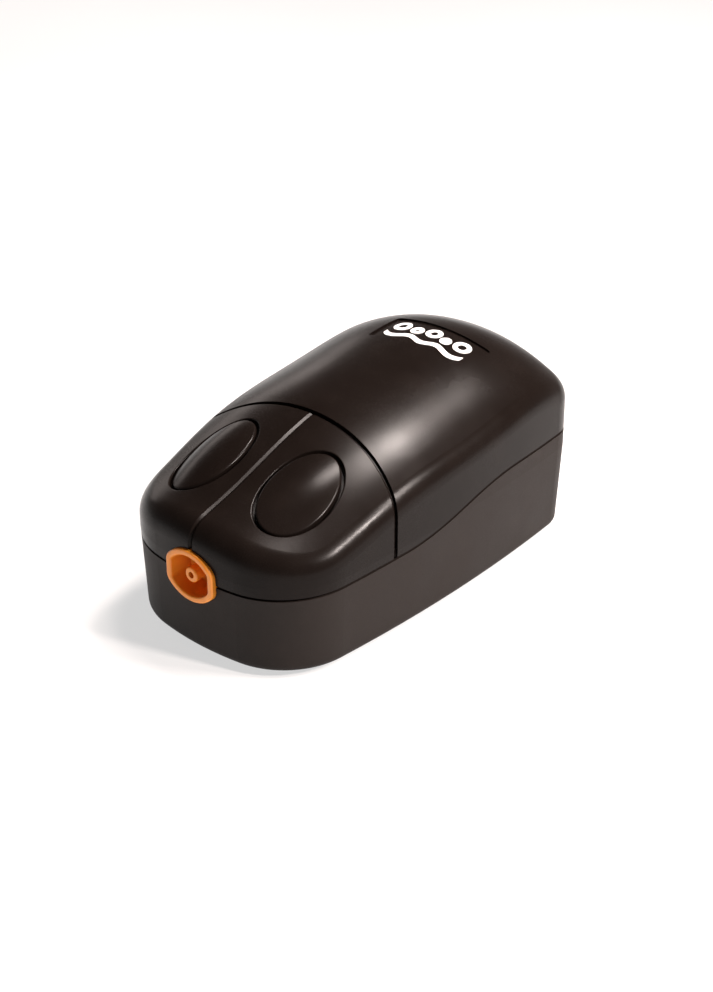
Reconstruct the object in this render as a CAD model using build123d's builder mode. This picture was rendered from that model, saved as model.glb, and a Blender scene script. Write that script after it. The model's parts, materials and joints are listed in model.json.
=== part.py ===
from build123d import *

import os
from math import radians, sqrt, tan

# A small aquarium air pump. Its rounded housing is a base and two covers, with an orange outlet nozzle at
# the front. Inside, an electromagnet swings a magnet arm, which works a rubber diaphragm and two flaps.
#
# Millimetres. X is across, Y runs from the outlet (front, -Y) to the cord inlet (rear, +Y), Z is up.
# The origin is on the surface that the feet stand on, at the middle of the overall box.

# ---------------------------------------------------------------- driving dimensions
HOUSING_LENGTH = 130.0
HALF_LENGTH = HOUSING_LENGTH / 2
PROUD = 1.0  # how far the nozzle's rim and the cord gland stand out of the housing's two ends
FOOT_HEIGHT = 2.0
WALL = 2.2
LAP = 1.1  # middle of the lap joints, as a depth into the wall
LAP_CLEARANCE = 0.05

# plan outline at its widest level
FRONT_SHOULDER = (34.0, -58.7)
REAR_HALF_WIDTH = 35.8
WIDEST = (38.6, 6.0)
FRONT_CORNER_RADIUS = 25.0
REAR_CORNER_RADIUS = 11.0
WIDEST_LEVEL = 30.0
BASE_DRAFT_DEGREES = 2.46
COVER_DRAFT = 0.45  # how far the walls lean in from the widest level up to DRAFT_TOP
DRAFT_TOP = 75.0

# crown: heights of the centre line at stations along Y, and the radius of the arc across it
CROWN_STATIONS = [
    (-72.0, 37.8),
    (-45.0, 47.5),
    (-20.0, 56.1),
    (0.0, 59.7),
    (20.0, 61.7),
    (40.0, 63.3),
    (56.0, 60.4),
    (72.0, 50.8),
]
CROWN_RADIUS = 66.0
CROWN_HALF_SPAN = 45.0
RIM_RADIUS = 8.0
BOTTOM_EDGE_RADIUS = 2.4

# parting line between base and covers: low at the front, high at the rear
PART_FRONT = 25.9
PART_RISE_START = (-18.0, 27.4)
PART_RISE_END = (32.0, 35.2)
PART_GAP = 0.8
LAP_HEIGHT = 2.6
REACH = 90.0  # half the size of cutting blocks, larger than the pump
THROUGH = 1.0  # how far a cut runs past the face where it comes out

# seam between front and rear cover, as a curve in plan
SEAM_CENTRE = -14.2
SEAM_MID = (27.0, -17.3)
SEAM_EDGE = (41.0, -24.0)
SEAM_GAP = 0.9
SEAM_BEVEL = 0.6
SEAM_LAP = 3.2

# oval pads and the groove between them
PAD_CENTRE = (16.2, -38.4)
WELL_RADII = (10.2, 15.2)
WELL_FLOOR = 1.8  # thickness under the well, inside the wall
WELL_EDGE_RADIUS = 0.35
PAD_GAP = 0.9
PAD_TOP = 49.6
PAD_LEAN = (0.26, -0.357, 1.0)  # direction that the pad's middle faces
PAD_CROWN_RADII = (24.0, 80.0)  # across and along
PAD_BLANK = (15.0, 20.0, 9.0)  # half width, half length and depth of the block that the pad is cut from
PAD_EDGE_RADIUS = 0.8
PAD_PEG_RADIUS = 1.2
PAD_PEG_SPACING = 14.0
PAD_PEG_END = 39.0
GROOVE_SLOT = (0.5, 0.8)  # width and depth of the slot at the bottom of the groove
GROOVE_BEVEL = 0.6

# label recess
LABEL_CENTRE_Y = 37.0
LABEL_SIZE = (35.8, 14.7)
LABEL_CORNER = 1.0
LABEL_DEPTH = 1.0
LABEL_PLATE = 0.4
LABEL_PRINT = 0.2
LABEL_GAP = 0.12
MARK_STROKE = 1.9
MARK_WAVE = (14.6, 1.5, -3.6)  # half length, height and middle of the wave, from the recess's middle
MARK_WAVE_BENDS = 6
BUBBLES = [(-11.6, 1.9, 2.9), (-5.4, 1.2, 2.2), (0.2, 2.4, 2.7), (5.6, 1.1, 1.9), (11.2, 2.0, 2.9)]
BUBBLE_STROKE = 1.5

# outlet nozzle
NOZZLE_Z = 26.8
RIM_HALF = (8.95, 8.05)
RIM_FLAT_HALF = 3.4
RIM_CORNER = 3.6
RIM_THICKNESS = 1.9
RIM_ROUNDING = 0.6
NOZZLE_CLEARANCE = 0.1
NOZZLE_HOLE = (-70.0, -55.0)  # where the cut for the nozzle starts and ends along Y
NOZZLE_CUP_DEPTH = 7.8
NOZZLE_BACK = 1.4
NOZZLE_FLANGE = (-61.4, -60.0)
NOZZLE_FLANGE_STEP = 1.6
NOZZLE_RIB = (-59.9, -58.1)
NOZZLE_RIB_HALF = 13.0
NOZZLE_RIB_TOP = 23.5
NIPPLE_RADIUS = 2.3
NIPPLE_SETBACK = 1.0
NIPPLE_TIP = 0.5
AIR_BORE = 1.0
SPIGOT_RADIUS = 2.1
NOZZLE_SPIGOT_END = -51.8

# screws and feet
BOSS_START = 3.0  # inside the floor's thickness
BASE_BOSS_RADIUS = 5.0
COVER_BOSS_RADIUS = 3.6
BOSS_JOIN = 18.0
BOSS_JOIN_GAP = 0.1
COVER_PILOT_TOP = 28.0
HEAD_RADIUS = 3.0
HEAD_HEIGHT = 2.4
HEAD_ROOM = 0.3
HEAD_SEAT = 8.0
SHANK_RADIUS = 1.5
PILOT_CLEARANCE = 0.05
PASS_CLEARANCE = 0.2
FRONT_SCREWS = [(-25.5, -45.5), (25.5, -45.5)]
REAR_SCREWS = [(-29.0, 42.0), (29.0, 42.0)]
HOUSING_SCREW_LENGTH = 19.0
FEET = [(-15.0, -47.0), (15.0, -47.0), (-26.5, 53.5), (26.5, 53.5)]
FOOT_RADIUS = 5.5
FOOT_RECESS = 1.0
FOOT_RECESS_CLEARANCE = 0.2
FOOT_STEM_RADIUS = 2.0
FOOT_BULB_RADIUS = 2.7
FOOT_BULB_TOP = 6.4
FOOT_BULB_TAPER = 28.0

# cord gland and air intake
GLAND_Z = 14.0
GLAND_BORE = 3.0
GLAND_BODY = 5.0
GLAND_FLANGE = 6.4
GLAND_SEAT = (60.2, 64.8)
GLAND_PAD_RADIUS = 7.6
GLAND_INNER_FLANGE = 58.6
GLAND_TAIL = (4.2, 56.0)
INTAKE = (14.0, -8.0)
INTAKE_RADIUS = 10.0
INTAKE_WALL = 2.0
INTAKE_ROOF = 8.2
INTAKE_HOLES = 6  # in a ring, and one in the middle
INTAKE_HOLE_CIRCLE = 6.0
INTAKE_HOLE_RADIUS = 1.8
CAP_BOTTOM = 2.2
CAP_TOP = 4.2
CAP_BEVEL = 0.44
FELT_TOP = 6.2
CAP_CLEARANCE = 0.05
GRILLE_SLOT = (11.0, 1.4)
GRILLE_SLOTS = 5
GRILLE_PITCH = 2.8

# electromagnet
CORE_Z = (14.0, 30.0)
CORE_Y = (20.0, 54.0)
CORE_HALF = 20.0
CENTRE_LEG_HALF = 5.0
OUTER_LEG = 7.0
YOKE = 9.0
LAMINATIONS = 16
LAMINATION_GROOVE = (0.2, 0.25)
BOBBIN_Y = (22.0, 43.5)
BOBBIN_FLANGE = 1.2
BOBBIN_WALL = 1.0
BOBBIN_CLEARANCE = 0.2
COIL_HALF = (11.8, 14.6)
FLANGE_HALF = (12.5, 15.2)
TERMINAL_SIZE = (2.4, 0.6)
TERMINAL_X = 6.0
TERMINAL_Z = (35.2, 43.0)
CORE_SCREWS = [(-16.0, 49.5), (16.0, 49.5)]
CORE_SCREW_LENGTH = 22.0
CORE_POST_RADIUS = 4.5
CORE_RESTS = [(-16.5, 25.0), (16.5, 25.0)]
CORE_REST_RADIUS = 3.0

# swing arm and its pivot
PIVOT_Y = -33.0
POST_RADIUS = 5.0
POST_TOP = 18.4
ARM_Z = (20.0, 28.0)
ARM_HALF = 3.0
EYE_Z = (19.0, 29.0)
EYE_RADIUS = 6.0
BUSH_RADIUS = 3.4
PIN_RADIUS = 2.0
PIN_Z = (8.0, 31.5)
PIN_CLEARANCE = 0.04
THRUST_CLEARANCE = 0.05
THRUST_RADIUS = 4.5
CLIP_Z = (29.1, 29.8)
CLIP_RADII = (1.5, 3.6)
CLIP_MOUTH = 2.7
ARM_HEAD_Y = (11.0, 13.0)
ARM_HEAD_Z = (13.0, 31.0)
MAGNET_HALF = 12.0
MAGNET_SPLIT = 1.0
MAGNET_Z = (16.0, 28.0)
MAGNET_YOKE = 1.5
MAGNET_LENGTH = 4.0
MAGNET_BEVEL = 0.3
RIVET_SPACING = (14.0, 15.2)
RIVET_RADIUS = 0.9
RIVET_HEAD = (1.5, 0.7)

# diaphragm pump: it lies along X, about the axis through (PUMP_Y, PUMP_Z)
PUMP_Y = -9.0
PUMP_Z = 24.0
PUMP_RADIUS = 18.0
RING_X = (-13.5, -9.5)
CAVITY_RADIUS = 12.8
RIM_SEAT_RADIUS = 14.6
RIM_SEAT = 1.5
PLATE_X = (-19.5, -16.5)
PLENUM_RADIUS = 14.4
PLENUM_BACK = -30.0
DIVIDER = 1.5
PUMP_GASKET = 0.6
PUMP_COVER = 2.0
PORT_RADIUS = 2.4
PORT_OFFSET = 6.8
FLAP_LENGTH = 8.0
FLAP_HALF_WIDTH = 3.4
FLAP_THICKNESS = 0.6
FLAP_AXIS_HEIGHT = 1.0
FLAP_AXIS_OFFSET = 2.4
BEAD_RADIUS = 0.9
BEAD_CLEARANCE = 0.05
KNUCKLE_WIDTH = 2.0
KNUCKLE_GAP = 0.15
KNUCKLE_HALF = 1.5
KNUCKLE_HEIGHT = 2.2
KNUCKLE_MOUTH = 1.4
PUMP_SCREWS = 4
PUMP_SCREW_CIRCLE = 16.3
PUMP_SCREW_RADIUS = 0.9
PUMP_SCREW_LENGTH = 21.5
PUMP_FOOT_X = (-26.0, -18.0)
PUMP_FOOT_HALF = 21.5
PUMP_FOOT_Z = (9.0, 12.0)
PUMP_POST_RADIUS = 3.5
PUMP_POST_OFFSET = 18.5
PUMP_MOUNT_SCREW = (2.4, 1.6, 1.25, 7.0)  # head radius, head height, shank radius, length
PUMP_POSTS = [(-22.0, PUMP_Y - PUMP_POST_OFFSET), (-22.0, PUMP_Y + PUMP_POST_OFFSET)]
SIDE_PORT_X = -24.0
PUMP_SPIGOT_END = -32.5
HOSE_RADII = (2.12, 3.1)
HOSE_BEND = 9.0
HOSE_CORNERS = (-40.0, -44.3)
HOSE_ENDS = (-27.2, -56.4)
HUB_X = (-7.0, -4.5)
HUB_RADIUS = 5.4
HUB_HOLE = 1.3
WASHER_RADIUS = 5.0
WASHER_THICKNESS = 0.8
DIAPHRAGM_WALL = 1.0
HUB_SCREW = (2.6, 1.8, 1.25, 9.4)  # head radius, head height, shank radius, length

os.makedirs("parts", exist_ok=True)


# ---------------------------------------------------------------- helpers
def save(builder, name):
    """Labels a finished piece and writes its STEP file."""
    builder.part.label = name
    export_step(builder.part, f"parts/{name}.step")


def moved_in(edge, position, inset):
    """The point at position along an edge of a convex outline around the origin, moved in by inset."""
    point = edge @ position
    tangent = edge % position
    inward = Vector(-tangent.Y, tangent.X)
    if inward.dot(point) > 0:
        inward = -inward
    return point + inward * inset


def plan_outline(inset):
    """The housing's outline in plan, moved in by inset."""
    sx, sy = FRONT_SHOULDER
    with BuildSketch() as outline:
        with BuildLine():
            ThreePointArc((-sx, sy), (0, -HALF_LENGTH), (sx, sy))
            ThreePointArc((sx, sy), WIDEST, (REAR_HALF_WIDTH, HALF_LENGTH))
            Line((REAR_HALF_WIDTH, HALF_LENGTH), (-REAR_HALF_WIDTH, HALF_LENGTH))
            ThreePointArc((-REAR_HALF_WIDTH, HALF_LENGTH), (-WIDEST[0], WIDEST[1]), (-sx, sy))
        make_face()
        fillet(outline.vertices().group_by(Axis.Y)[-1], REAR_CORNER_RADIUS)
        fillet(outline.vertices().group_by(Axis.Y)[0], FRONT_CORNER_RADIUS)
    with BuildSketch() as smaller:
        with BuildLine():
            for edge in outline.edges():
                start, middle, end = (moved_in(edge, position, inset) for position in (0, 0.5, 1))
                if edge.geom_type == GeomType.LINE:
                    Line(start, end)
                else:
                    ThreePointArc(start, middle, end)
        make_face()
    return smaller.sketch


def housing_form(inset):
    """The solid that fills the housing's outer shape, moved in by inset on every side."""
    bottom = FOOT_HEIGHT + inset
    draft = (WIDEST_LEVEL - FOOT_HEIGHT) * tan(radians(BASE_DRAFT_DEGREES))
    with BuildPart() as walls:
        for level, lean in ((bottom, draft), (WIDEST_LEVEL, 0.0), (DRAFT_TOP, COVER_DRAFT)):
            with BuildSketch(Plane.XY.offset(level)):
                add(plan_outline(inset + lean))
        loft(ruled=True)
    drop = CROWN_RADIUS - sqrt(CROWN_RADIUS**2 - CROWN_HALF_SPAN**2)
    with BuildPart() as crown:
        for station, height in CROWN_STATIONS:
            top = height - inset
            with BuildSketch(Plane.XZ.offset(-station)):
                with BuildLine():
                    Line((CROWN_HALF_SPAN, 0), (CROWN_HALF_SPAN, top - drop))
                    ThreePointArc((CROWN_HALF_SPAN, top - drop), (0, top), (-CROWN_HALF_SPAN, top - drop))
                    Line((-CROWN_HALF_SPAN, top - drop), (-CROWN_HALF_SPAN, 0))
                    Line((-CROWN_HALF_SPAN, 0), (CROWN_HALF_SPAN, 0))
                make_face()
        loft()
    with BuildPart() as form:
        add(walls.part)
        add(crown.part, mode=Mode.INTERSECT)
        crown_face = form.faces().filter_by(lambda f: f.normal_at().Z > 0.5).sort_by(SortBy.AREA)[-1]
        fillet(crown_face.edges(), RIM_RADIUS - inset)
        if inset < LAP:
            fillet(form.faces().sort_by(Axis.Z)[0].edges(), BOTTOM_EDGE_RADIUS - inset)
    return form.part


def above_parting(shift):
    """Everything above the parting line moved up by shift."""
    start, end = PART_RISE_START, PART_RISE_END
    with BuildPart() as block:
        with BuildSketch(Plane.YZ):
            with BuildLine():
                Line((-REACH, PART_FRONT + shift), (start[0], start[1] + shift))
                Spline(
                    (start[0], start[1] + shift),
                    (end[0], end[1] + shift),
                    tangents=[(start[0] + REACH, start[1] - PART_FRONT), (1, 0)],
                )
                Line((end[0], end[1] + shift), (REACH, end[1] + shift))
                Line((REACH, end[1] + shift), (REACH, REACH))
                Line((REACH, REACH), (-REACH, REACH))
                Line((-REACH, REACH), (-REACH, PART_FRONT + shift))
            make_face()
        extrude(amount=REACH, both=True)
    return block.part


def behind_seam(shift):
    """Everything behind the seam between the two covers, with the seam moved back by shift."""
    half_seam = [(-SEAM_EDGE[0], SEAM_EDGE[1] + shift), (-SEAM_MID[0], SEAM_MID[1] + shift)]
    points = half_seam + [(0, SEAM_CENTRE + shift)] + [(-x, y) for x, y in reversed(half_seam)]
    with BuildPart() as block:
        with BuildSketch():
            with BuildLine():
                seam = Spline(points)
                Line(seam @ 1, (REACH, SEAM_EDGE[1] + shift))
                Line((REACH, SEAM_EDGE[1] + shift), (REACH, REACH))
                Line((REACH, REACH), (-REACH, REACH))
                Line((-REACH, REACH), (-REACH, SEAM_EDGE[1] + shift))
                Line((-REACH, SEAM_EDGE[1] + shift), seam @ 0)
            make_face()
        extrude(amount=REACH)
    return block.part


def barrel_outline(grow):
    """The nozzle's outline, flat at its two sides and arched above and below, grown by grow."""
    half_width, half_height = RIM_HALF
    with BuildSketch() as outline:
        with BuildLine():
            Line((half_width, -RIM_FLAT_HALF), (half_width, RIM_FLAT_HALF))
            ThreePointArc((half_width, RIM_FLAT_HALF), (0, half_height), (-half_width, RIM_FLAT_HALF))
            Line((-half_width, RIM_FLAT_HALF), (-half_width, -RIM_FLAT_HALF))
            ThreePointArc((-half_width, -RIM_FLAT_HALF), (0, -half_height), (half_width, -RIM_FLAT_HALF))
        make_face()
        fillet(outline.vertices(), RIM_CORNER)
        if grow:
            offset(amount=grow)
    return outline.sketch


def around_pad(edge):
    """True if an edge's middle lies on the rim of one of the pads' wells."""
    middle = edge @ 0.5
    across = (abs(middle.X) - PAD_CENTRE[0]) / WELL_RADII[0]
    along = (middle.Y - PAD_CENTRE[1]) / WELL_RADII[1]
    return abs(across**2 + along**2 - 1) < 0.02


def on_skin(edge):
    """True if an edge's middle lies on the housing's outer skin."""
    return outer_form.shell().distance_to(Vertex(edge @ 0.5)) < 0.01


def port_plane(x, y, z):
    """The plane across an air passage or another axis along Y, facing the front."""
    return Plane(origin=(x, y, z), x_dir=(1, 0, 0), z_dir=(0, -1, 0))


def nozzle_plane(y):
    """The plane across the nozzle's axis at y, facing out of the front."""
    return port_plane(0, y, NOZZLE_Z)


def coil_plane(y):
    """The plane across the coil's axis at y, facing the magnets."""
    return port_plane(0, y, (CORE_Z[0] + CORE_Z[1]) / 2)


def pump_plane(x):
    """The plane across the diaphragm's axis at x, facing +X."""
    return Plane(origin=(x, PUMP_Y, PUMP_Z), x_dir=(0, 1, 0), z_dir=(1, 0, 0))


def cross_head_screw(head_radius, head_height, shank_radius, length):
    """A pan head screw: its head's underside is at the origin and its shank along +Z."""
    slot_width = head_radius * 0.3
    slot_length = head_radius * 1.2
    with BuildPart() as screw:
        with BuildSketch(Plane.XY.offset(-head_height)):
            Circle(head_radius)
        extrude(amount=head_height)
        fillet(screw.faces().sort_by(Axis.Z)[0].edges(), head_height * 0.45)
        with BuildSketch():
            Circle(shank_radius)
        extrude(amount=length)
        chamfer(screw.faces().sort_by(Axis.Z)[-1].edges(), shank_radius * 0.4)
        with BuildSketch(Plane.XY.offset(-head_height)):
            Rectangle(slot_width, slot_length)
            Rectangle(slot_length, slot_width)
        extrude(amount=head_height * 0.5, mode=Mode.SUBTRACT)
    return screw.part


# ---------------------------------------------------------------- housing
outer_form = housing_form(0.0)
rebate_form = housing_form(LAP - LAP_CLEARANCE)
tongue_form = housing_form(LAP + LAP_CLEARANCE)
inner_form = housing_form(WALL)
above_lap = above_parting(LAP_HEIGHT + 2 * LAP_CLEARANCE)

with BuildPart() as base_lip:
    add(tongue_form)
    add(above_parting(LAP_HEIGHT), mode=Mode.SUBTRACT)

with BuildPart() as lip_rebate:
    add(rebate_form)
    add(above_lap, mode=Mode.SUBTRACT)

with BuildPart() as seam_tongue:
    add(tongue_form)
    add(above_lap, mode=Mode.INTERSECT)
    add(behind_seam(-SEAM_LAP), mode=Mode.INTERSECT)

with BuildPart() as seam_rebate:
    add(rebate_form)
    add(behind_seam(-SEAM_LAP - 2 * LAP_CLEARANCE), mode=Mode.INTERSECT)

with BuildPart() as nozzle_hole:
    with BuildSketch(nozzle_plane(NOZZLE_HOLE[0])):
        add(barrel_outline(NOZZLE_CLEARANCE))
    extrude(amount=NOZZLE_HOLE[0] - NOZZLE_HOLE[1])

with BuildPart() as screw_holes:
    for seat in FRONT_SCREWS + REAR_SCREWS:
        with BuildSketch(Plane.XY):
            with Locations(seat):
                Circle(HEAD_RADIUS + HEAD_ROOM)
        extrude(amount=HEAD_SEAT)
        with BuildSketch(Plane.XY):
            with Locations(seat):
                Circle(SHANK_RADIUS + PASS_CLEARANCE)
        extrude(amount=BOSS_JOIN)
        with BuildSketch(Plane.XY):
            with Locations(seat):
                Circle(SHANK_RADIUS + PILOT_CLEARANCE)
        extrude(amount=COVER_PILOT_TOP)

with BuildPart() as base_shell:
    add(outer_form)
    add(above_parting(-PART_GAP / 2), mode=Mode.SUBTRACT)
    add(base_lip.part)
    add(inner_form, mode=Mode.SUBTRACT)
    # bosses and posts that stand on the floor
    with BuildSketch(Plane.XY.offset(BOSS_START)):
        with Locations(FRONT_SCREWS + REAR_SCREWS):
            Circle(BASE_BOSS_RADIUS)
    extrude(amount=BOSS_JOIN - BOSS_START)
    with BuildSketch(Plane.XY.offset(BOSS_START)):
        with Locations((0, PIVOT_Y)):
            Circle(POST_RADIUS)
    extrude(amount=POST_TOP - BOSS_START)
    with BuildSketch(Plane.XY.offset(BOSS_START)):
        with Locations(CORE_SCREWS):
            Circle(CORE_POST_RADIUS)
        with Locations(CORE_RESTS):
            Circle(CORE_REST_RADIUS)
    extrude(amount=CORE_Z[0] - BOSS_START)
    with BuildSketch(Plane.XY.offset(BOSS_START)):
        with Locations(PUMP_POSTS):
            Circle(PUMP_POST_RADIUS)
    extrude(amount=PUMP_FOOT_Z[0] - BOSS_START)
    with BuildSketch(Plane.XY.offset(BOSS_START)):
        with Locations(INTAKE):
            Circle(INTAKE_RADIUS + INTAKE_WALL)
    extrude(amount=INTAKE_ROOF - BOSS_START)
    # rib behind the nozzle's flange
    with BuildSketch(Plane.XY.offset(BOSS_START)):
        with Locations((0, (NOZZLE_RIB[0] + NOZZLE_RIB[1]) / 2)):
            Rectangle(2 * NOZZLE_RIB_HALF, NOZZLE_RIB[1] - NOZZLE_RIB[0])
    extrude(amount=NOZZLE_RIB_TOP - BOSS_START)
    add(nozzle_hole.part, mode=Mode.SUBTRACT)
    # flat pad for the cord gland
    with BuildSketch(Plane.XZ.offset(-GLAND_SEAT[1])):
        with Locations((0, GLAND_Z)):
            Circle(GLAND_PAD_RADIUS)
    extrude(amount=GLAND_SEAT[1] - GLAND_SEAT[0])
    with BuildSketch(Plane.XZ.offset(-HALF_LENGTH)):
        with Locations((0, GLAND_Z)):
            Circle(GLAND_BODY)
    extrude(amount=HALF_LENGTH - GLAND_SEAT[0] + THROUGH, mode=Mode.SUBTRACT)
    # holes from below
    add(screw_holes.part, mode=Mode.SUBTRACT)
    with BuildSketch(Plane.XY):
        with Locations(FEET):
            Circle(FOOT_RADIUS + FOOT_RECESS_CLEARANCE)
    extrude(amount=FOOT_HEIGHT + FOOT_RECESS, mode=Mode.SUBTRACT)
    with BuildSketch(Plane.XY):
        with Locations(FEET):
            Circle(FOOT_STEM_RADIUS)
    extrude(amount=BOSS_START + WALL, mode=Mode.SUBTRACT)
    with BuildSketch(Plane.XY):
        with Locations(INTAKE):
            Circle(INTAKE_RADIUS)
    extrude(amount=FELT_TOP, mode=Mode.SUBTRACT)
    with BuildSketch(Plane.XY):
        with Locations(INTAKE):
            with PolarLocations(INTAKE_HOLE_CIRCLE, INTAKE_HOLES):
                Circle(INTAKE_HOLE_RADIUS)
            Circle(INTAKE_HOLE_RADIUS)
    extrude(amount=INTAKE_ROOF, mode=Mode.SUBTRACT)
    # pilot holes from above
    with BuildSketch(Plane.XY.offset(PIN_Z[0])):
        with Locations((0, PIVOT_Y)):
            Circle(PIN_RADIUS)
    extrude(amount=POST_TOP - PIN_Z[0], mode=Mode.SUBTRACT)
    with BuildSketch(Plane.XY.offset(CORE_Z[1] - CORE_SCREW_LENGTH)):
        with Locations(CORE_SCREWS):
            Circle(SHANK_RADIUS + PILOT_CLEARANCE)
    extrude(amount=CORE_SCREW_LENGTH, mode=Mode.SUBTRACT)
    with BuildSketch(Plane.XY.offset(PUMP_FOOT_Z[1] - PUMP_MOUNT_SCREW[3])):
        with Locations(PUMP_POSTS):
            Circle(PUMP_MOUNT_SCREW[2] + PILOT_CLEARANCE)
    extrude(amount=PUMP_FOOT_Z[1], mode=Mode.SUBTRACT)
save(base_shell, "base_shell")

with BuildPart() as rear_bosses:
    with BuildSketch(Plane.XY.offset(BOSS_JOIN + BOSS_JOIN_GAP)):
        with Locations(REAR_SCREWS):
            Circle(COVER_BOSS_RADIUS)
    extrude(amount=DRAFT_TOP)
    add(tongue_form, mode=Mode.INTERSECT)

with BuildPart() as label_column:
    with BuildSketch(Plane.XY.offset(PART_RISE_END[1])):
        with Locations((0, LABEL_CENTRE_Y)):
            RectangleRounded(LABEL_SIZE[0], LABEL_SIZE[1], LABEL_CORNER)
    extrude(amount=DRAFT_TOP)

with BuildPart() as label_recess:
    add(label_column.part)
    add(housing_form(LABEL_DEPTH), mode=Mode.SUBTRACT)

with BuildPart() as rear_cover:
    add(outer_form)
    add(above_parting(PART_GAP / 2), mode=Mode.INTERSECT)
    add(behind_seam(SEAM_GAP / 2), mode=Mode.INTERSECT)
    add(lip_rebate.part, mode=Mode.SUBTRACT)
    add(seam_tongue.part)
    add(inner_form, mode=Mode.SUBTRACT)
    add(rear_bosses.part)
    add(label_recess.part, mode=Mode.SUBTRACT)
    add(screw_holes.part, mode=Mode.SUBTRACT)
save(rear_cover, "rear_cover")

with BuildPart() as well_columns:
    with BuildSketch(Plane.XY.offset(PART_RISE_END[1])):
        with Locations((PAD_CENTRE[0], PAD_CENTRE[1]), (-PAD_CENTRE[0], PAD_CENTRE[1])):
            Ellipse(*WELL_RADII)
    extrude(amount=DRAFT_TOP)
    add(inner_form, mode=Mode.SUBTRACT)

with BuildPart() as well_floors:
    with BuildSketch(Plane.XY.offset(PART_RISE_END[1])):
        with Locations((PAD_CENTRE[0], PAD_CENTRE[1]), (-PAD_CENTRE[0], PAD_CENTRE[1])):
            Ellipse(WELL_RADII[0] + WALL, WELL_RADII[1] + WALL)
    extrude(amount=DRAFT_TOP)
    add(tongue_form, mode=Mode.INTERSECT)
    add(housing_form(WALL + WELL_FLOOR), mode=Mode.SUBTRACT)

with BuildPart() as front_bosses:
    with BuildSketch(Plane.XY.offset(BOSS_JOIN + BOSS_JOIN_GAP)):
        with Locations(FRONT_SCREWS):
            Circle(COVER_BOSS_RADIUS)
    extrude(amount=DRAFT_TOP)
    with BuildSketch(Plane.XY.offset(NOZZLE_Z)):
        with Locations((0, (NOZZLE_RIB[0] + NOZZLE_RIB[1]) / 2)):
            Rectangle(2 * RIM_HALF[0], NOZZLE_RIB[1] - NOZZLE_RIB[0])
    extrude(amount=DRAFT_TOP)
    add(tongue_form, mode=Mode.INTERSECT)
    add(nozzle_hole.part, mode=Mode.SUBTRACT)

slot_width, slot_depth = GROOVE_SLOT
with BuildPart() as groove_slot:
    with BuildSketch(Plane.XY.offset(NOZZLE_Z)):
        with Locations((0, -REACH / 2)):
            Rectangle(slot_width, REACH)
    extrude(amount=DRAFT_TOP)
    add(housing_form(slot_depth), mode=Mode.SUBTRACT)

with BuildPart() as front_cover:
    add(outer_form)
    add(above_parting(PART_GAP / 2), mode=Mode.INTERSECT)
    add(behind_seam(-SEAM_GAP / 2), mode=Mode.SUBTRACT)
    seam_face = front_cover.faces().sort_by(Axis.Y)[-1]
    chamfer(seam_face.edges().sort_by(Axis.Z)[1:], SEAM_BEVEL)
    add(groove_slot.part, mode=Mode.SUBTRACT)
    slot_walls = front_cover.faces().filter_by(Axis.X).filter_by(lambda f: abs(f.center().X) < slot_width)
    chamfer(slot_walls.edges().filter_by(on_skin), GROOVE_BEVEL)
    add(lip_rebate.part, mode=Mode.SUBTRACT)
    add(seam_rebate.part, mode=Mode.SUBTRACT)
    add(inner_form, mode=Mode.SUBTRACT)
    add(front_bosses.part)
    add(well_floors.part)
    add(well_columns.part, mode=Mode.SUBTRACT)
    fillet(front_cover.edges().filter_by(around_pad).filter_by(on_skin), WELL_EDGE_RADIUS)
    with BuildSketch(Plane.XY.offset(PART_RISE_END[1])):
        for side in (1, -1):
            with Locations((side * PAD_CENTRE[0], PAD_CENTRE[1])):
                with GridLocations(0, PAD_PEG_SPACING, 1, 2):
                    Circle(PAD_PEG_RADIUS)
    extrude(amount=DRAFT_TOP, mode=Mode.SUBTRACT)
    add(nozzle_hole.part, mode=Mode.SUBTRACT)
    add(screw_holes.part, mode=Mode.SUBTRACT)
save(front_cover, "front_cover")

# ---------------------------------------------------------------- what is fixed to the housing
facing = Vector(*PAD_LEAN).normalized()
pad_across = Vector(0, 1, 0).cross(facing).normalized()
pad_along = facing.cross(pad_across)
pad_middle = Vector(PAD_CENTRE[0], PAD_CENTRE[1], PAD_TOP)
across_radius, along_radius = PAD_CROWN_RADII
blank_half, blank_reach, blank_depth = PAD_BLANK
across_drop = across_radius - sqrt(across_radius**2 - blank_half**2)
along_drop = along_radius - sqrt(along_radius**2 - blank_reach**2)

with BuildPart() as pad_pegs:
    with BuildSketch(Plane.XY.offset(PAD_PEG_END)):
        with Locations(PAD_CENTRE):
            with GridLocations(0, PAD_PEG_SPACING, 1, 2):
                Circle(PAD_PEG_RADIUS)
    extrude(amount=DRAFT_TOP)
    add(tongue_form, mode=Mode.INTERSECT)

with BuildPart() as right_pad:
    with BuildLine():
        pad_spine = ThreePointArc(
            pad_middle - pad_along * blank_reach - facing * along_drop,
            pad_middle,
            pad_middle + pad_along * blank_reach - facing * along_drop,
        )
    with BuildSketch(Plane(origin=pad_spine @ 0, x_dir=-pad_across, z_dir=pad_spine % 0)):
        with BuildLine():
            ThreePointArc((-blank_half, -across_drop), (0, 0), (blank_half, -across_drop))
            Polyline(
                (blank_half, -across_drop),
                (blank_half, -blank_depth),
                (-blank_half, -blank_depth),
                (-blank_half, -across_drop),
            )
        make_face()
    sweep()
    with BuildSketch(Plane.XY.offset(PART_RISE_END[1])):
        with Locations(PAD_CENTRE):
            Ellipse(WELL_RADII[0] - PAD_GAP, WELL_RADII[1] - PAD_GAP)
    extrude(amount=DRAFT_TOP, mode=Mode.INTERSECT)
    add(inner_form, mode=Mode.SUBTRACT)
    fillet(right_pad.faces().sort_by(Axis.Z)[-1].edges(), PAD_EDGE_RADIUS)
    add(pad_pegs.part)
save(right_pad, "right_pad")

with BuildPart() as left_pad:
    mirror(right_pad.part, about=Plane.YZ)
save(left_pad, "left_pad")

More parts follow.
